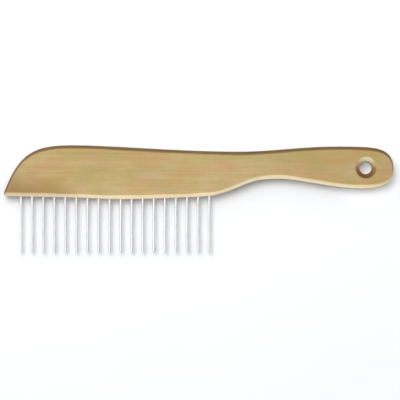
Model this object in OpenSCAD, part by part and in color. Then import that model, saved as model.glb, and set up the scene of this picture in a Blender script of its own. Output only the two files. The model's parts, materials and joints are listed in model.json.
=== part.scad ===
// Mane comb: a lacquered wooden handle with one row of steel wire pins.
// Each pin sits in its own blind hole in the comb edge. Nothing on the comb moves.
// The comb lies flat on its back: +X towards the butt of the handle, the pins point to -Y,
// +Z out of the upper face. The origin is the middle of the comb's box, on the surface it lies on.

/* [Handle] */
// Length of the whole comb, from the nose to the butt
overall_l = 225; // [215:1:240]
// Thickness of the wooden board
board_t = 12; // [9:0.5:16]
// Height of the back's crest above the comb edge
blade_h = 31.2; // [29:0.1:34]
// Height of the back above the comb edge at the neck
neck_back_h = 27.5; // [26:0.1:29]
// Height of the belly above the comb edge at the neck
neck_belly_h = 11.8; // [8:0.1:14]
// Height of the back above the comb edge at the butt
butt_back_h = 30.5; // [28:0.1:32]
// Height of the belly above the comb edge at the butt
butt_belly_h = 6.1; // [4:0.1:9]

/* [Rounded edges] */
// Width of the rounding along the back and the comb edge, seen from above
edge_w = 2.2; // [1.2:0.1:3]
// Width of the rounding where the outline crosses the grain, at the nose and the butt
end_w = 0.9; // [0.6:0.1:2]
// Depth of the rounding, down from each face
edge_drop = 3.2; // [2:0.1:4]
// Angle at which the rounding leaves the face, which shows as a fine line all round
edge_tilt = 22; // [10:1:35]
// Radius of the pointed nose in the outline
nose_r = 1.5; // [1:0.1:2]

/* [Hanging hole] */
// Diameter of the hole
hole_d = 7.5; // [5:0.5:10]
// Width of the countersink round each mouth
sink_w = 2.4; // [1:0.1:3]
// Depth of the countersink at each mouth
sink_depth = 2.2; // [1:0.1:3]
// Distance from the middle of the hole to the end of the butt
hole_inset = 16; // [13:0.5:22]
// Height of the middle of the hole above the comb edge
hole_h = 18.2; // [16:0.1:20]

/* [Pins] */
// Number of pins
pin_count = 18; // [10:1:18]
// Diameter of the pins
pin_d = 1.6; // [1.2:0.1:2.4]
// Distance from one pin to the next
pin_pitch = 6.4; // [5.6:0.1:6.4]
// Distance from the nose to the middle of the first pin
pin_inset = 9.8; // [8:0.1:12]
// Length of the pins from the lower border of the flat face to their tips
pin_reach = 33; // [25:1:45]
// Height of the pins' inner ends above the comb edge
pin_root_h = 13; // [8:0.5:14]

/* [Hidden] */
$fn = 48;
function pin_name(i) = str("pin_", i < 10 ? "0" : "", i);

wood = [0.76, 0.64, 0.42];
steel = [0.86, 0.87, 0.88];

pin_r = pin_d / 2;
pin_tip_y = edge_w - pin_reach;
pin_chamfer = 0.2;
drill_point_l = 0.5;
mouth_over = 2;
origin = [overall_l / 2, (blade_h + pin_tip_y) / 2, 0];

// The flat face's outline, in a frame whose X starts at the nose's tip and whose Y starts at the
// comb edge. The stations along X are those of a comb drawn_l long, and stretch with overall_l.
drawn_l = 225;
stretch = overall_l / drawn_l;
crest = [40 * stretch, blade_h - edge_w];
neck_back = [136 * stretch, neck_back_h - edge_w];
butt_back = [194 * stretch, butt_back_h - edge_w];
butt_end_h = 17.2;
butt_end = [overall_l - end_w, butt_end_h];
comb_edge = [68 * stretch, edge_w];
heel_h = 4.5;
heel = [122 * stretch, heel_h];
neck_belly = [159 * stretch, neck_belly_h + edge_w];
butt_belly = [207 * stretch, butt_belly_h + edge_w];
heel_heading = 15.5;

function polar(a) = [cos(a), sin(a)];
function unit(v) = v / norm(v);
// The outward side is to the right of the belly and to the left of the back.
function right_of(v) = [v.y, -v.x];
function left_of(v) = [-v.y, v.x];
// The vector that reaches d along the unit vector m and e along the unit vector n
function meet(m, d, n, e) =
    [d * n.y - e * m.y, e * m.x - d * n.x] / (m.x * n.y - m.y * n.x);

// The rounding is edge_w wide along the grain and end_w wide across it.
function rounding_w(normal) = end_w + (edge_w - end_w) * normal.y * normal.y;

// The nose is the corner where the back and the belly start. It is set back from the nose's tip
// so far that the arc round the corner just reaches X = 0 at the side of the board.
nose_back_heading = 69;
nose_belly_heading = -1;
nose_back_normal = left_of(polar(nose_back_heading));
nose_belly_normal = right_of(polar(nose_belly_heading));
// From the corner to the middle of its arc, for an arc of radius r at a share of the rounding's width
function nose_middle(share, r) = meet(
    nose_back_normal, share * rounding_w(nose_back_normal) - r,
    nose_belly_normal, share * rounding_w(nose_belly_normal) - r
);
nose_h = 4;
nose = [nose_r - nose_middle(1, nose_r).x, nose_h];

// A bow is a cubic curve from p to q that starts along heading a and ends along heading b.
// The two reaches say how far it holds each heading.
function bow(p, a, reach_p, q, b, reach_q) = [p, p + reach_p * polar(a), q - reach_q * polar(b), q];

// The back and the belly, each from the nose to the end of the butt.
back = [
    bow(nose, nose_back_heading, 23.5, crest, 0, 21),
    bow(crest, 0, 22, neck_back, 0, 34.5),
    bow(neck_back, 0, 19, butt_back, 0, 23),
    bow(butt_back, 0, 20, butt_end, -90, 11)
];
belly = [
    bow(nose, nose_belly_heading, 60, comb_edge, 0, 14),
    bow(comb_edge, 0, 10, heel, heel_heading, 4),
    bow(heel, heel_heading, 21, neck_belly, 0, 19),
    bow(neck_belly, 0, 12, butt_belly, 0, 16.5),
    bow(butt_belly, 0, 8, butt_end, 90, 7.5)
];
// Steps along each bow. The two lists have the same sum, so that the faces tile from side to side.
back_steps = [24, 14, 12, 20];
belly_steps = [14, 14, 14, 12, 16];

function bow_point(s, t) =
    pow(1 - t, 3) * s[0] + 3 * pow(1 - t, 2) * t * s[1] + 3 * (1 - t) * t * t * s[2] + pow(t, 3) * s[3];
function bow_slope(s, t) =
    pow(1 - t, 2) * (s[1] - s[0]) + 2 * (1 - t) * t * (s[2] - s[1]) + t * t * (s[3] - s[2]);
function walk(route, steps) = [
    for (k = [0:len(route) - 1])
        for (j = [1:steps[k]])
            let (t = j / steps[k])
            [bow_point(route[k], t), unit(bow_slope(route[k], t))]
];

// Stations of the flat face's outline as [point, outward normal], anticlockwise without the nose.
belly_walk = walk(belly, belly_steps);
back_walk = walk(back, back_steps);
side_count = len(belly_walk);
sides = concat(
    [for (s = belly_walk) [s[0], right_of(s[1])]],
    [for (k = [side_count - 2:-1:0]) [back_walk[k][0], left_of(back_walk[k][1])]]
);

// The arc round the nose, from the back to the belly
nose_steps = 4;
nose_face_r = 0.3;
nose_back_angle = nose_back_heading + 90;
nose_belly_angle = nose_belly_heading + 270;
nose_turn = (nose_belly_angle - nose_back_angle) / nose_steps;
function nose_arc(share) =
    let (r = nose_face_r + (nose_r - nose_face_r) * share)
    [for (k = [0:nose_steps])
        nose + nose_middle(share, r) + r * polar(nose_back_angle + nose_turn * k)];

// The outline at a share of the rounding's width, from 0 on the face to 1 on the side
function outline(share) = concat(
    [for (s = sides) s[0] + share * rounding_w(s[1]) * s[1]],
    nose_arc(share)
);

// The rounding's section: [share of the width, share of the depth] from the face to the side
edge_steps = 5;
edge_profile = [
    for (k = [0:edge_steps])
        let (a = edge_tilt + (90 - edge_tilt) * k / edge_steps)
        [(sin(a) - sin(edge_tilt)) / (1 - sin(edge_tilt)), 1 - cos(a) / cos(edge_tilt)]
];
layers = concat(
    [for (p = edge_profile) [p[0], board_t - edge_drop * p[1]]],
    [for (k = [edge_steps:-1:0]) [edge_profile[k][0], edge_drop * edge_profile[k][1]]]
);

// The board's skin, as points and faces. The two flat faces are tiled by strips from belly to back.
ring_count = len(sides) + nose_steps + 1;
last_layer = len(layers) - 1;
board_points = [
    for (layer = layers)
        for (p = outline(layer[0]))
            [p.x, p.y, layer[1]]
];
face_strips = concat(
    [for (k = [0:side_count - 3]) [k, k + 1, 2 * side_count - 3 - k, 2 * side_count - 2 - k]],
    [[side_count - 2, side_count - 1, side_count]],
    [[for (k = [2 * side_count - 2:ring_count - 1]) k, 0]]
);
function reverse(list) = [for (k = [len(list) - 1:-1:0]) list[k]];
upper_face = [for (strip = face_strips) reverse(strip)];
lower_face = [for (strip = face_strips) [for (k = strip) last_layer * ring_count + k]];
rim_faces = [
    for (layer = [0:last_layer - 1])
        for (k = [0:ring_count - 1])
            let (a = layer * ring_count + k)
            let (b = layer * ring_count + (k + 1) % ring_count)
            for (triangle = [[a, b, b + ring_count], [a, b + ring_count, a + ring_count]])
                triangle
];

function pin_x(i) = pin_inset + (i - 1) * pin_pitch;

// The board before drilling
module board() {
    polyhedron(board_points, concat(upper_face, rim_faces, lower_face));
}

// What the drill and the countersink take out of the butt
module hanging_hole() {
    hole_r = hole_d / 2;
    sink_r = hole_r + sink_w;
    translate([overall_l - hole_inset, hole_h, 0])
        rotate_extrude()
            polygon([
                [0, -mouth_over],
                [sink_r, -mouth_over],
                [sink_r, 0],
                [hole_r, sink_depth],
                [hole_r, board_t - sink_depth],
                [sink_r, board_t],
                [sink_r, board_t + mouth_over],
                [0, board_t + mouth_over]
            ]);
}

// The blind hole of one pin, with the cone that the drill's point leaves
module pin_hole(i) {
    translate([pin_x(i), -mouth_over, board_t / 2])
        rotate([-90, 0, 0]) {
            cylinder(h = pin_root_h + mouth_over, r = pin_r);
            translate([0, 0, pin_root_h + mouth_over])
                cylinder(h = drill_point_l, r1 = pin_r, r2 = 0);
        }
}

module handle() {
    color(wood)
        translate(-origin)
            difference() {
                board();
                hanging_hole();
                for (i = [1:pin_count])
                    pin_hole(i);
            }
}

// A wire pin: chamfered at its inner end and domed at its tip
pin_tip_steps = 5;
module pin(i) {
    shank_l = pin_root_h - pin_tip_y - pin_r;
    tip = [
        for (k = [0:pin_tip_steps])
            pin_r * polar(90 * k / pin_tip_steps) + [0, shank_l]
    ];
    color(steel)
        translate([pin_x(i), pin_root_h, board_t / 2] - origin)
            rotate([90, 0, 0])
                rotate_extrude()
                    polygon(concat([[0, 0], [pin_r - pin_chamfer, 0], [pin_r, pin_chamfer]], tip));
}

handle();
for (i = [1:pin_count])
    pin(i);
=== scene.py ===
import json
import math

import bpy
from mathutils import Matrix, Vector


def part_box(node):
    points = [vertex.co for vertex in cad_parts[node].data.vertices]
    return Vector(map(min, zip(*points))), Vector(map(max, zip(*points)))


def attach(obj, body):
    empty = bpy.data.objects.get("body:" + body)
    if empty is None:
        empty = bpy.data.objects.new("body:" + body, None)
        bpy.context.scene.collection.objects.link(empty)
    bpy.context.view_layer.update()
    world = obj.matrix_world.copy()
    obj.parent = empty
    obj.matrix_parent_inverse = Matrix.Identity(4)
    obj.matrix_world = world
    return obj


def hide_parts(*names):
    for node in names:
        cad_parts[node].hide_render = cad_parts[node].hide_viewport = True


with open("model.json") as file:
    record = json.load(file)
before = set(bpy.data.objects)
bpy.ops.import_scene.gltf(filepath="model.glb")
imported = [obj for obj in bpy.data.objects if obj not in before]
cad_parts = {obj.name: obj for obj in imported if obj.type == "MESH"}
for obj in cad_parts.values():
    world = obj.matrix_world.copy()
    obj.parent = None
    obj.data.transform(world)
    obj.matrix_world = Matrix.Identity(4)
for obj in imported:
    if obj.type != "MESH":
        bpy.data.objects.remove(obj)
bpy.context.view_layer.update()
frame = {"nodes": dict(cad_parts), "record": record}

# A mane comb lying flat on a pale table: a lacquered beech handle and a row of steel wire pins.
# The comb's lengths are in millimetres until place() puts them in the frame, which is in metres.
# The table, the lights and the camera are in metres. Angles are in degrees.
MM = 0.001
handle_lo, handle_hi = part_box("handle")
handle_l = (handle_hi.x - handle_lo.x) / MM
board_t = (handle_hi.z - handle_lo.z) / MM
blade_h = (handle_hi.y - handle_lo.y) / MM
PINS = sorted(name for name in frame["nodes"] if name.startswith("pin_"))


def place(x, y, z):
    """A point given from the nose's tip, the comb edge and the table, in the frame."""
    return handle_lo + Vector((x, y, z)) * MM


def from_frame(point):
    """The same the other way round."""
    return (point - handle_lo) / MM


def mount(name):
    """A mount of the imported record."""
    return next(m for m in frame["record"]["mounts"] if m["name"] == name)


# ---------------------------------------------------------------- the handle's outline

# The rounded edges: their width along and across the grain, their depth, and the angle at which
# they leave the face
EDGE_W = 2.2
END_W = 0.9
EDGE_DROP = 3.2
EDGE_TILT = 22

# The pointed nose: the radius of its arc at the side of the board and on the face, and the corner
# where the back and the belly would meet
NOSE_R = 1.5
NOSE_FACE_R = 0.3
NOSE_H = 4
NOSE_BACK_HEADING = 69
NOSE_BELLY_HEADING = -1
NOSE_STEPS = 14

# Heights above the comb edge, at the side of the board
NECK_BACK_H = 27.5
NECK_BELLY_H = 11.8
BUTT_BACK_H = 30.5
BUTT_BELLY_H = 6.1
BUTT_END_H = 17.2
HEEL_H = 4.5
HEEL_HEADING = 15.5

# Steps along each bow of the back and of the belly, which have the same sum
BACK_STEPS = (72, 44, 36, 60)
BELLY_STEPS = (46, 40, 42, 36, 48)

# The unevenness of hand sanding, as waves of (share of the edge's width, radians per mm, phase)
SANDING_WAVES = ((0.05, 0.093, 0.6), (0.035, 0.271, 2.1))


def polar(angle):
    return Vector((math.cos(math.radians(angle)), math.sin(math.radians(angle))))


def right_of(v):
    return Vector((v.y, -v.x))


def left_of(v):
    return Vector((-v.y, v.x))


def rounding_w(normal):
    """Width of the rounded edge: wide along the grain, narrow across it."""
    return END_W + (EDGE_W - END_W) * normal.y ** 2


def meet(m, d, n, e):
    """The vector that reaches d along the unit vector m and e along the unit vector n."""
    return Vector((d * n.y - e * m.y, e * m.x - d * n.x)) / (m.x * n.y - m.y * n.x)


NOSE_BACK = left_of(polar(NOSE_BACK_HEADING))
NOSE_BELLY = right_of(polar(NOSE_BELLY_HEADING))


def nose_middle(share, radius):
    """From the nose's corner to the middle of the arc round it."""
    to_back = share * rounding_w(NOSE_BACK) - radius
    to_belly = share * rounding_w(NOSE_BELLY) - radius
    return meet(NOSE_BACK, to_back, NOSE_BELLY, to_belly)


def bow(p, a, reach_p, q, b, reach_q):
    """A cubic curve from p to q that starts along heading a and ends along heading b. The two
    reaches say how far it holds each heading."""
    p, q = Vector(p), Vector(q)
    return p, p + reach_p * polar(a), q - reach_q * polar(b), q


def bow_point(s, t):
    """The point of a bow at t, from 0 at its start to 1 at its end."""
    u = 1 - t
    return u ** 3 * s[0] + 3 * u * u * t * s[1] + 3 * u * t * t * s[2] + t ** 3 * s[3]


def bow_heading(s, t):
    """The unit vector along a bow at t."""
    u = 1 - t
    return (u * u * (s[1] - s[0]) + 2 * u * t * (s[2] - s[1]) + t * t * (s[3] - s[2])).normalized()


NOSE = Vector((NOSE_R - nose_middle(1, NOSE_R).x, NOSE_H))
CREST = (40, blade_h - EDGE_W)
NECK_BACK = (136, NECK_BACK_H - EDGE_W)
BUTT_BACK = (194, BUTT_BACK_H - EDGE_W)
BUTT_END = (handle_l - END_W, BUTT_END_H)
COMB_EDGE = (68, EDGE_W)
HEEL = (122, HEEL_H)
NECK_BELLY = (159, NECK_BELLY_H + EDGE_W)
BUTT_BELLY = (207, BUTT_BELLY_H + EDGE_W)
BACK = (
    bow(NOSE, NOSE_BACK_HEADING, 23.5, CREST, 0, 21),
    bow(CREST, 0, 22, NECK_BACK, 0, 34.5),
    bow(NECK_BACK, 0, 19, BUTT_BACK, 0, 23),
    bow(BUTT_BACK, 0, 20, BUTT_END, -90, 11),
)
BELLY = (
    bow(NOSE, NOSE_BELLY_HEADING, 60, COMB_EDGE, 0, 14),
    bow(COMB_EDGE, 0, 10, HEEL, HEEL_HEADING, 4),
    bow(HEEL, HEEL_HEADING, 21, NECK_BELLY, 0, 19),
    bow(NECK_BELLY, 0, 12, BUTT_BELLY, 0, 16.5),
    bow(BUTT_BELLY, 0, 8, BUTT_END, 90, 7.5),
)


def walk(route, steps, outward):
    """Stations along a side of the flat face, as (point, outward normal), without the nose."""
    return [
        (bow_point(s, j / n), outward(bow_heading(s, j / n)))
        for s, n in zip(route, steps)
        for j in range(1, n + 1)
    ]


belly_side = walk(BELLY, BELLY_STEPS, right_of)
back_side = walk(BACK, BACK_STEPS, left_of)
SIDE_COUNT = len(belly_side)
SIDES = belly_side + back_side[-2::-1]


def hand_sanding(x):
    """How much wider or narrower the sanded edge is at x, as a share of its width."""
    return sum(share * math.sin(rate * x + phase) for share, rate, phase in SANDING_WAVES)


def outline(share):
    """The outline at a share of the rounding's width, from 0 on the face to 1 on the side."""
    ring = []
    for point, normal in SIDES:
        reach = 1 - (1 - share) * (1 + hand_sanding(point.x))
        ring.append(point + reach * rounding_w(normal) * normal)
    radius = NOSE_FACE_R + (NOSE_R - NOSE_FACE_R) * share
    middle = NOSE + nose_middle(share, radius)
    first, last = NOSE_BACK_HEADING + 90, NOSE_BELLY_HEADING + 270
    for k in range(NOSE_STEPS + 1):
        ring.append(middle + radius * polar(first + (last - first) * k / NOSE_STEPS))
    return ring


# ---------------------------------------------------------------- meshes


def solid(name, points, faces, material):
    """A smooth-shaded object from points in the frame."""
    mesh = bpy.data.meshes.new(name)
    mesh.from_pydata(points, [], faces)
    mesh.validate()
    mesh.polygons.foreach_set("use_smooth", [True] * len(mesh.polygons))
    piece = bpy.data.objects.new(name, mesh)
    if material:
        mesh.materials.append(material)
    bpy.context.scene.collection.objects.link(piece)
    return piece


def lathe(profile, middle, axis, segments):
    """Points and faces of a closed turned solid. The profile is (radius, distance along the axis)
    from one pole to the other, and each pole has a radius of 0."""
    turn = Vector((0, 0, 1)).rotation_difference(axis).to_matrix()
    points = [middle + turn @ Vector((0, 0, profile[0][1] * MM))]
    for radius, along in profile[1:-1]:
        for k in range(segments):
            a = 2 * math.pi * k / segments
            ring_point = Vector((radius * math.cos(a), radius * math.sin(a), along))
            points.append(middle + turn @ (ring_point * MM))
    points.append(middle + turn @ Vector((0, 0, profile[-1][1] * MM)))
    rings, last = len(profile) - 2, len(points) - 1
    faces = []
    for k in range(segments):
        n = (k + 1) % segments
        faces.append((0, 1 + n, 1 + k))
        for r in range(rings - 1):
            a, b = 1 + r * segments + k, 1 + r * segments + n
            faces.append((a, b, b + segments, a + segments))
        end = 1 + (rings - 1) * segments
        faces.append((end + k, end + n, last))
    return points, faces


def join(parts):
    """Several closed solids as one list of points and one of faces."""
    points, faces = [], []
    for part_points, part_faces in parts:
        faces += [tuple(len(points) + k for k in face) for face in part_faces]
        points += part_points
    return points, faces


def weighted_normals(piece, sharp_angle):
    """Flat faces keep flat shading right up to the rounded edges that meet them."""
    piece.data.set_sharp_from_angle(angle=math.radians(sharp_angle))
    modifier = piece.modifiers.new("weighted_normals", "WEIGHTED_NORMAL")
    modifier.mode = "FACE_AREA"
    modifier.keep_sharp = True


# ---------------------------------------------------------------- the board

FILLET_R = 0.5
FILLET_STEPS = 4
ROUNDING_STEPS = 13
SIDE_WALL_STEPS = 3


def rounding():
    """The rounded edge's section from the face to the side, as (share of width, share of depth).
    A small fillet turns it down to EDGE_TILT, and one large arc from there to upright."""
    large_r = EDGE_DROP / math.cos(math.radians(EDGE_TILT))
    x, z = 0.0, 0.0
    section = [(x, z)]
    tilts = [EDGE_TILT * k / FILLET_STEPS for k in range(FILLET_STEPS + 1)]
    for k in range(1, ROUNDING_STEPS + 1):
        tilts.append(EDGE_TILT + (90 - EDGE_TILT) * k / ROUNDING_STEPS)
    for a, b in zip(tilts, tilts[1:]):
        radius = FILLET_R if b <= EDGE_TILT else large_r
        x += radius * (math.sin(math.radians(b)) - math.sin(math.radians(a)))
        z += radius * (math.cos(math.radians(a)) - math.cos(math.radians(b)))
        section.append((x, z))
    return [(px / x, pz / z) for px, pz in section]


def board():
    """The board before drilling, as points and faces."""
    section = rounding()
    layers = [(share, board_t - EDGE_DROP * drop) for share, drop in section]
    wall = board_t - 2 * EDGE_DROP
    for k in range(SIDE_WALL_STEPS - 1, 0, -1):
        layers.append((1, EDGE_DROP + wall * k / SIDE_WALL_STEPS))
    layers += [(share, EDGE_DROP * drop) for share, drop in reversed(section)]
    points = [place(p.x, p.y, z) for share, z in layers for p in outline(share)]
    count = len(SIDES) + NOSE_STEPS + 1
    strips = [
        (k, k + 1, 2 * SIDE_COUNT - 3 - k, 2 * SIDE_COUNT - 2 - k) for k in range(SIDE_COUNT - 2)
    ]
    strips.append((SIDE_COUNT - 2, SIDE_COUNT - 1, SIDE_COUNT))
    strips.append((*range(2 * SIDE_COUNT - 2, count), 0))
    bottom = (len(layers) - 1) * count
    faces = strips + [tuple(bottom + k for k in reversed(strip)) for strip in strips]
    for layer in range(len(layers) - 1):
        for k in range(count):
            a, b = layer * count + k, layer * count + (k + 1) % count
            faces.append((a, a + count, b + count, b))
    return points, faces


# The countersink round the hanging hole, and the radii that soften its two edges
HOLE_SEGMENTS = 96
SINK_W = 2.4
SINK_RIM_R = 0.7
SINK_THROAT_R = 0.9
SINK_ARC_STEPS = 6

# The pin holes: the gap round the pin, the drill point's depth and the broken edge at the mouth
DRILL_SEGMENTS = 40
DRILL_GAP = 0.03
DRILL_POINT = 0.5
MOUTH = 0.22

# How far a cutter reaches out of the wood
CUT_OVER = 2.0
BOARD_SHARP_ANGLE = 30


def softened(before, corner, after, radius):
    """The arc that takes the place of a profile's corner between its two neighbours."""
    u, v = (before - corner).normalized(), (after - corner).normalized()
    half = u.angle(v) / 2
    middle = corner + (u + v).normalized() * radius / math.sin(half)
    first = corner + u * radius / math.tan(half) - middle
    last = corner + v * radius / math.tan(half) - middle
    steps = range(SINK_ARC_STEPS + 1)
    return [middle + radius * first.slerp(last, k / SINK_ARC_STEPS) for k in steps]


def hanging_hole():
    """What the drill and the countersink take out of the butt."""
    bore = mount("hanging_hole")
    radius, wall = bore["dims"]["r_mm"], bore["dims"]["length_mm"]
    throat = Vector((radius, (board_t + wall) / 2))
    rim = Vector((radius + SINK_W, board_t))
    upper = softened(Vector((radius, board_t / 2)), throat, rim, SINK_THROAT_R)
    upper += softened(throat, rim, rim + Vector((SINK_W, 0)), SINK_RIM_R)
    lower = [(r, board_t - z) for r, z in reversed(upper)]
    wide = upper[-1].x
    profile = [(0, -CUT_OVER), (wide, -CUT_OVER)] + lower + upper
    profile += [(wide, board_t + CUT_OVER), (0, board_t + CUT_OVER)]
    middle = from_frame(Vector(bore["pos_m"]))
    return lathe(profile, place(middle.x, middle.y, 0), Vector((0, 0, 1)), HOLE_SEGMENTS)


def edge_height(x):
    """Height of the comb edge's side at x."""
    ring = outline(1)[:SIDE_COUNT]
    a, b = next((a, b) for a, b in zip(ring, ring[1:]) if a.x <= x <= b.x)
    return a.y + (b.y - a.y) * (x - a.x) / (b.x - a.x)


def pin_hole(node):
    """A blind hole a hair wider than its pin, with a broken edge at its mouth."""
    lo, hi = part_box(node)
    middle = from_frame((lo + hi) / 2)
    radius = (hi.x - lo.x) / MM / 2 + DRILL_GAP
    root = from_frame(hi).y
    mouth = edge_height(middle.x)
    profile = [
        (0, mouth - CUT_OVER),
        (radius + MOUTH + CUT_OVER, mouth - CUT_OVER),
        (radius, mouth + MOUTH),
        (radius, root),
        (0, root + DRILL_POINT),
    ]
    return lathe(profile, place(middle.x, 0, middle.z), Vector((0, 1, 0)), DRILL_SEGMENTS)


def handle_board(material):
    """The drilled and rounded board."""
    piece = solid("handle_board", *board(), material)
    drills = [hanging_hole()] + [pin_hole(node) for node in PINS]
    cutters = solid("cutters", *join(drills), None)
    cut = piece.modifiers.new("drilling", "BOOLEAN")
    cut.operation = "DIFFERENCE"
    cut.solver = "EXACT"
    cut.object = cutters
    bpy.context.view_layer.update()
    depsgraph = bpy.context.evaluated_depsgraph_get()
    drilled = bpy.data.meshes.new_from_object(piece.evaluated_get(depsgraph), depsgraph=depsgraph)
    piece.modifiers.clear()
    piece.data = drilled
    bpy.data.objects.remove(cutters)
    weighted_normals(piece, BOARD_SHARP_ANGLE)
    return piece


# ---------------------------------------------------------------- the pins

PIN_SEGMENTS = 40
TIP_STEPS = 10
ROOT_CHAMFER = 0.2
PIN_SHARP_ANGLE = 40


def wire_pin(node, material):
    """A straight wire with a domed tip and a chamfered inner end."""
    lo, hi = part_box(node)
    radius = (hi.x - lo.x) / MM / 2
    length = (hi.y - lo.y) / MM
    dome = [math.radians(90 * k / TIP_STEPS) for k in range(TIP_STEPS)]
    profile = [(0, 0), (radius - ROOT_CHAMFER, 0), (radius, ROOT_CHAMFER)]
    profile += [(radius * math.cos(a), length - radius * (1 - math.sin(a))) for a in dome]
    profile.append((0, length))
    root = Vector(((lo.x + hi.x) / 2, hi.y, (lo.z + hi.z) / 2))
    points, faces = lathe(profile, root, Vector((0, -1, 0)), PIN_SEGMENTS)
    piece = solid(node.replace("pin_", "wire_pin_"), points, faces, material)
    weighted_normals(piece, PIN_SHARP_ANGLE)
    return piece


# ---------------------------------------------------------------- materials

NOISE_ROUGHNESS = 0.55


def srgb(r, g, b):
    """A display colour of 0 to 255 as the linear colour that a shader takes."""
    def linear(value):
        v = value / 255
        return v / 12.92 if v <= 0.04045 else ((v + 0.055) / 1.055) ** 2.4
    return linear(r), linear(g), linear(b), 1.0


class Shader:
    """One material's node tree. A node's input takes a value or another node's output."""

    def __init__(self, name):
        self.material = bpy.data.materials.new(name)
        self.material.use_nodes = True
        self.tree = self.material.node_tree
        self.tree.nodes.clear()
        where = self.add("TexCoord")
        self.mm = self.scaled(where.outputs["Object"], (1 / MM, 1 / MM, 1 / MM))

    def add(self, kind, inputs=None, **settings):
        node = self.tree.nodes.new("ShaderNode" + kind)
        for key, value in settings.items():
            setattr(node, key, value)
        for key, value in (inputs or {}).items():
            if isinstance(value, bpy.types.NodeSocket):
                self.tree.links.new(value, node.inputs[key])
            else:
                node.inputs[key].default_value = value
        return node

    def math(self, operation, a, b=0.0):
        return self.add("Math", {0: a, 1: b}, operation=operation).outputs[0]

    def vector(self, operation, a, b):
        return self.add("VectorMath", {0: a, 1: b}, operation=operation).outputs[0]

    def scaled(self, a, factors):
        return self.vector("MULTIPLY", a, factors)

    def separated(self, vector):
        """A vector's X, Y and Z."""
        return self.add("SeparateXYZ", {0: vector}).outputs[:]

    def noise(self, per_mm, detail=2.0, shift=0.0, output="Fac"):
        """Soft noise whose cells are 1 / per_mm long in X, Y and Z. The shift sets it apart from
        the other noises."""
        place_mm = self.vector("ADD", self.scaled(self.mm, per_mm), (shift, shift, shift))
        inputs = {
            "Vector": place_mm,
            "Scale": 1.0,
            "Detail": detail,
            "Roughness": NOISE_ROUGHNESS,
        }
        return self.add("TexNoise", inputs).outputs[output]

    def ramp(self, value, low, high, to_low=0.0, to_high=1.0):
        """A smooth step from to_low where the value is low to to_high where it is high."""
        inputs = {
            "Value": value,
            "From Min": low,
            "From Max": high,
            "To Min": to_low,
            "To Max": to_high,
        }
        return self.add("MapRange", inputs, interpolation_type="SMOOTHSTEP").outputs[0]

    def mix(self, factor, a, b, blend="MIX"):
        node = self.add("Mix", {0: factor, 6: a, 7: b}, data_type="RGBA", blend_type=blend)
        return node.outputs[2]

    def bump(self, height, depth_mm, strength=1.0, under=None):
        inputs = {"Height": height, "Distance": depth_mm * MM, "Strength": strength}
        if under:
            inputs["Normal"] = under
        return self.add("Bump", inputs).outputs[0]

    def finish(self, principled):
        shader = self.add("BsdfPrincipled", principled)
        output = self.add("OutputMaterial")
        self.tree.links.new(shader.outputs[0], output.inputs["Surface"])
        return self.material


# The wood's patches
TAN = srgb(208, 182, 124)
HONEY = srgb(200, 168, 102)
PINKISH = srgb(208, 166, 116)
OLIVE = srgb(190, 172, 104)
PALE = srgb(204, 188, 144)

# The darker wood towards the nose, which starts along a slanting line: how far the line moves
# along the board for each millimetre up and for the unevenness of the patches
BROWN = srgb(156, 118, 60)
NOSE_SLANT = 2.8
NOSE_WANDER = 40.0

# The grain, with growth rings round a pith below and behind the board
LATEWOOD = srgb(160, 128, 76)
FLECK = srgb(128, 92, 50)
PITH_Y = 58.0
PITH_Z = 40.0
RING_W = 3.1
RING_DRIFT = 0.012
GRAIN_WANDER = 7

# The rounded edges, with a painted highlight along the belly and painted shade along the back and
# on the upright sides, and the grip
# painted highlight: the pale colour laid on the rounded edges that face the front lights
BELLY_PAINTED_HIGHLIGHT = srgb(192, 178, 154)
# painted shade: the brown on the rounded edges that face away from the lights
BACK_PAINTED_SHADE = (0.84, 0.56, 0.28, 1.0)
# painted shade: the darker colour where the sides stand upright
SIDE_PAINTED_SHADE = (0.62, 0.54, 0.48, 1.0)
END_TINT = (0.9, 0.76, 0.56, 1.0)
GRIP_TINT = (0.94, 0.93, 0.95, 1.0)


def wood_patches(s, x, y):
    """Soft patches a few centimetres long, the darker wood towards the nose, and the grip."""
    tone = s.noise((0.025, 0.06, 0.06), detail=3.0, shift=11.0)
    warmth = s.noise((0.06, 0.11, 0.11), detail=4.0, shift=37.0)
    greenness = s.noise((0.055, 0.1, 0.1), detail=4.0, shift=51.0)
    paleness = s.noise((0.03, 0.1, 0.1), detail=4.0, shift=64.0)
    colour = s.mix(s.ramp(tone, 0.35, 0.65), HONEY, TAN)
    colour = s.mix(s.ramp(warmth, 0.42, 0.66, to_high=0.85), colour, PINKISH)
    colour = s.mix(s.ramp(greenness, 0.45, 0.68, to_high=0.8), colour, OLIVE)
    colour = s.mix(s.ramp(paleness, 0.5, 0.75, to_high=0.6), colour, PALE)
    wander = s.math("MULTIPLY", s.math("SUBTRACT", tone, 0.5), NOSE_WANDER)
    slant = s.math("MULTIPLY", y, NOSE_SLANT)
    from_nose = s.math("ADD", s.math("ADD", x, slant), wander)
    colour = s.mix(s.ramp(from_nose, -38.0, -92.0, to_high=0.78), colour, BROWN)
    return s.mix(s.ramp(x, 0.0, 45.0), colour, GRIP_TINT, blend="MULTIPLY")


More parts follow.
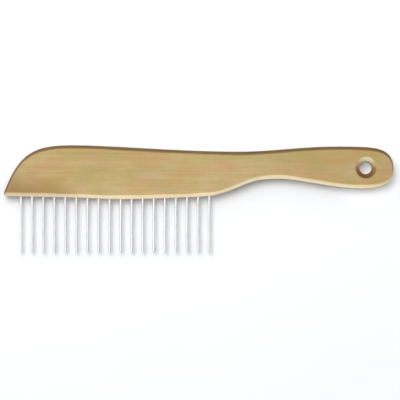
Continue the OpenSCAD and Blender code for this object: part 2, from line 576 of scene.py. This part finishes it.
def wood_grain(s, x, y, z, colour):
    """Fine lines along the grain: rings, streaks, fibres and the short dark flecks of the rays.
    Returns the colour, and how far the wood stands out under the lacquer."""
    from_pith_y = s.math("POWER", s.math("ADD", y, PITH_Y), 2.0)
    from_pith_z = s.math("POWER", s.math("ADD", z, PITH_Z), 2.0)
    from_pith = s.math("SQRT", s.math("ADD", from_pith_y, from_pith_z))
    drifting = s.math("ADD", from_pith, s.math("MULTIPLY", x, RING_DRIFT))
    growth = s.math("FRACT", s.math("DIVIDE", drifting, RING_W))
    latewood = s.math("MULTIPLY", s.ramp(growth, 0.3, 0.92), s.ramp(growth, 1.0, 0.93))
    streaks = s.noise((0.008, 0.9, 0.9), detail=2.0, shift=17.0)
    fibres = s.noise((0.05, 3.2, 3.2), detail=3.0, shift=23.0)
    colour = s.mix(s.math("MULTIPLY", latewood, 0.08), colour, LATEWOOD)
    colour = s.mix(s.ramp(streaks, 0.45, 0.75, to_high=0.19), colour, LATEWOOD)
    colour = s.mix(s.ramp(fibres, 0.5, 0.8, to_high=0.3), colour, LATEWOOD)
    cells = s.add("TexVoronoi", {"Vector": s.scaled(s.mm, (0.3, 2.6, 2.6)), "Scale": 1.0})
    chosen = s.add("SeparateColor", {0: cells.outputs["Color"]}).outputs[0]
    in_cell = s.ramp(cells.outputs["Distance"], 0.24, 0.1)
    flecks = s.math("MULTIPLY", in_cell, s.ramp(chosen, 0.35, 0.6))
    colour = s.mix(s.math("MULTIPLY", flecks, 0.4), colour, FLECK)
    return colour, s.math("SUBTRACT", fibres, s.math("MULTIPLY", flecks, 0.8))


def rounded_edges(s, colour):
    """Painted shade along the back and a painted highlight along the belly, painted shade where
    the side stands upright, and darker where it cuts the grain."""
    normal_x, normal_y, normal_z = s.separated(s.add("NewGeometry").outputs["Normal"])
    upright = s.math("ABSOLUTE", normal_z)
    edge = s.ramp(upright, 0.95, 0.6)
    # painted shade on the back's edge and on the hanging hole's lip that faces the same way
    back_shade = s.math("MULTIPLY", edge, s.ramp(normal_y, -0.25, 0.25))
    # painted highlight on the belly's edge and on the hanging hole's lip that faces the same way
    belly_highlight = s.math("MULTIPLY", edge, s.ramp(normal_y, 0.25, -0.25, to_high=0.6))
    end_grain = s.ramp(s.math("ABSOLUTE", normal_x), 0.35, 0.95)
    colour = s.mix(belly_highlight, colour, BELLY_PAINTED_HIGHLIGHT)
    colour = s.mix(back_shade, colour, BACK_PAINTED_SHADE, blend="MULTIPLY")
    # painted shade on the upright sides
    colour = s.mix(s.ramp(upright, 0.45, 0.1), colour, SIDE_PAINTED_SHADE, blend="MULTIPLY")
    return s.mix(end_grain, colour, END_TINT, blend="MULTIPLY")


def lacquered_wood():
    """Beech sawn between the rings, under a satin clear lacquer. The grain runs along X."""
    s = Shader("lacquered_wood")
    spread = s.vector("SUBTRACT", s.noise((0.012, 0.05, 0.05), output="Color"), (0.5, 0.5, 0.5))
    wander = s.scaled(spread, (0, GRAIN_WANDER, GRAIN_WANDER))
    x, y, z = s.separated(s.vector("ADD", s.mm, wander))
    colour, grain_relief = wood_grain(s, x, y, z, wood_patches(s, x, y))
    handled = s.noise((0.06, 0.12, 0.12), detail=3.0, shift=70.0)
    lacquer_flow = s.noise((0.12, 0.3, 0.3), detail=1.0, shift=5.0)
    return s.finish({
        "Base Color": rounded_edges(s, colour),
        "Roughness": s.ramp(handled, 0.3, 0.7, 0.36, 0.5),
        "Normal": s.bump(lacquer_flow, 0.05, 0.5, under=s.bump(grain_relief, 0.03, 0.5)),
        "Coat Weight": 0.3,
        "Coat Roughness": 0.4,
        "Coat IOR": 1.5,
        "IOR": 1.4,
    })


BRIGHT_STEEL = (0.86, 0.86, 0.86, 1.0)
DULL_STEEL = (0.66, 0.65, 0.63, 1.0)


def pin_steel():
    """Nickel-plated wire: fine marks along it from drawing, and a little dulled in places."""
    s = Shader("pin_steel")
    draw_lines = s.noise((9.0, 0.05, 9.0), detail=2.0)
    clouds = s.noise((0.7, 0.16, 0.7), detail=3.0, shift=9.0)
    worn = s.ramp(draw_lines, 0.35, 0.7, to_high=0.1)
    return s.finish({
        "Base Color": s.mix(s.ramp(clouds, 0.5, 0.8, to_high=0.5), BRIGHT_STEEL, DULL_STEEL),
        "Metallic": 1.0,
        "Roughness": s.math("ADD", worn, s.ramp(clouds, 0.4, 0.8, 0.26, 0.38)),
        "Normal": s.bump(draw_lines, 0.01, 0.4),
    })


TABLE_GREY = (0.84, 0.86, 0.89, 1.0)
TABLE_WHITE = (0.86, 0.88, 0.91, 1.0)


def table_top():
    """Matt near-white board with a barely uneven tone."""
    s = Shader("table_top")
    tone = s.noise((0.01, 0.01, 0.01), detail=2.0)
    return s.finish({
        "Base Color": s.mix(tone, TABLE_GREY, TABLE_WHITE),
        "Roughness": 0.8,
        "Specular IOR Level": 0.2,
    })


# ---------------------------------------------------------------- table, light and camera

TABLE_HALF = 2.5
WHITE = (1.0, 1.0, 1.0)
NEAR_WHITE = (0.96, 0.96, 1.0)
COOL_WHITE = (0.62, 0.82, 1.0)
FAINT_BLUE = (0.98, 0.99, 1.0)
ROOM_COLOUR = (1.0, 0.95, 0.88, 1.0)
ROOM_STRENGTH = 0.07

# The spot above the hanging hole: where it is from the hole, its cone, its soft border and its
# radius
SPOT_OFFSET = Vector((-0.02, 0.03, 0.8))
SPOT_CONE = 1.1
SPOT_BLEND = 0.6
SPOT_R = 0.02

# The camera stands straight above, and the comb's length fills this share of the picture's width.
CAMERA_AT = Vector((0.0008, -0.00065, 1.6))
COMB_SHARE = 0.9738


def pale_table(material):
    corners = [(-1, -1), (1, -1), (1, 1), (-1, 1)]
    points = [Vector((x * TABLE_HALF, y * TABLE_HALF, handle_lo.z)) for x, y in corners]
    piece = solid("table", points, [(0, 1, 2, 3)], material)
    return piece


def light(kind, name, location, aim, power, colour, receivers):
    """A light at a location that points at aim and lights only the receivers."""
    data = bpy.data.lights.new(name, kind)
    data.energy = power
    data.color = colour
    lamp = bpy.data.objects.new(name, data)
    bpy.context.scene.collection.objects.link(lamp)
    lamp.location = location
    lamp.rotation_mode = "QUATERNION"
    lamp.rotation_quaternion = (aim - lamp.location).to_track_quat("-Z", "Y")
    lamp.visible_camera = False
    group = bpy.data.collections.new(name + "_receivers")
    for receiver in receivers:
        group.objects.link(receiver)
    lamp.light_linking.receiver_collection = group
    return data


def soft_box(name, location, size, power, colour, receivers):
    """A soft box, with size as its width and height, that points at the middle of the comb."""
    data = light("AREA", name, location, Vector((0, 0, 0)), power, colour, receivers)
    data.shape = "RECTANGLE"
    data.size, data.size_y = size


def light_through(name, hole, power, colour, receivers):
    """A narrow spot down a hole, for the light that a larger room would send through it."""
    data = light("SPOT", name, hole + SPOT_OFFSET, hole, power, colour, receivers)
    data.spot_size = math.radians(SPOT_CONE)
    data.spot_blend = SPOT_BLEND
    data.shadow_soft_size = SPOT_R


def studio(handle, pins, table):
    """The handle, the pins and the table have lights of their own."""
    # the handle: a main light from the front that leaves the edge along the back in shade, and a
    # low one for the edge along the belly
    soft_box("overhead", (0.0, 0.0, 1.1), (0.8, 0.8), 0.4, NEAR_WHITE, [handle])
    soft_box("main", (-0.08, -0.58, 0.82), (0.35, 0.35), 11.0, NEAR_WHITE, [handle])
    soft_box("low_front", (-0.06, -0.72, 0.15), (1.0, 0.22), 3.95, COOL_WHITE, [handle])
    # the pins: panels for them to reflect, brighter to their left
    soft_box("pins_over", (-0.04, 0.0, 0.8), (2.8, 2.4), 21.5, WHITE, pins)
    soft_box("pins_left", (-1.1, 0.0, 0.7), (1.6, 2.4), 5.0, WHITE, pins)
    # the table: soft shadows to the front and the right, on a large even light
    soft_box("table_key", (-0.26, 0.42, 1.4), (0.65, 0.65), 13.0, WHITE, [table])
    soft_box("table_fill", (-0.3, 1.5, 2.8), (12.0, 5.6), 235.0, FAINT_BLUE, [table])
    light_through("hole_spot", Vector(mount("hanging_hole")["pos_m"]), 55.0, WHITE, [table])


def surroundings():
    world = bpy.data.worlds.new("pale_studio")
    world.use_nodes = True
    background = world.node_tree.nodes["Background"]
    background.inputs["Color"].default_value = ROOM_COLOUR
    background.inputs["Strength"].default_value = ROOM_STRENGTH
    bpy.context.scene.world = world


def camera():
    """Above the comb, and looking straight down."""
    data = bpy.data.cameras.new("camera")
    widest = handle_lo.z + (board_t - EDGE_DROP) * MM
    data.lens = data.sensor_width * (CAMERA_AT.z - widest) * COMB_SHARE / (handle_l * MM)
    eye = bpy.data.objects.new("camera", data)
    eye.location = CAMERA_AT
    bpy.context.scene.collection.objects.link(eye)
    bpy.context.scene.camera = eye


# ---------------------------------------------------------------- the scene

wood = lacquered_wood()
steel = pin_steel()

handle = handle_board(wood)
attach(handle, "root")
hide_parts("handle")

pins = []
for node in PINS:
    pin = wire_pin(node, steel)
    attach(pin, "root")
    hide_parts(node)
    pins.append(pin)

table = pale_table(table_top())
camera()
surroundings()
studio(handle, pins, table)
bpy.context.scene.view_settings.view_transform = "Standard"
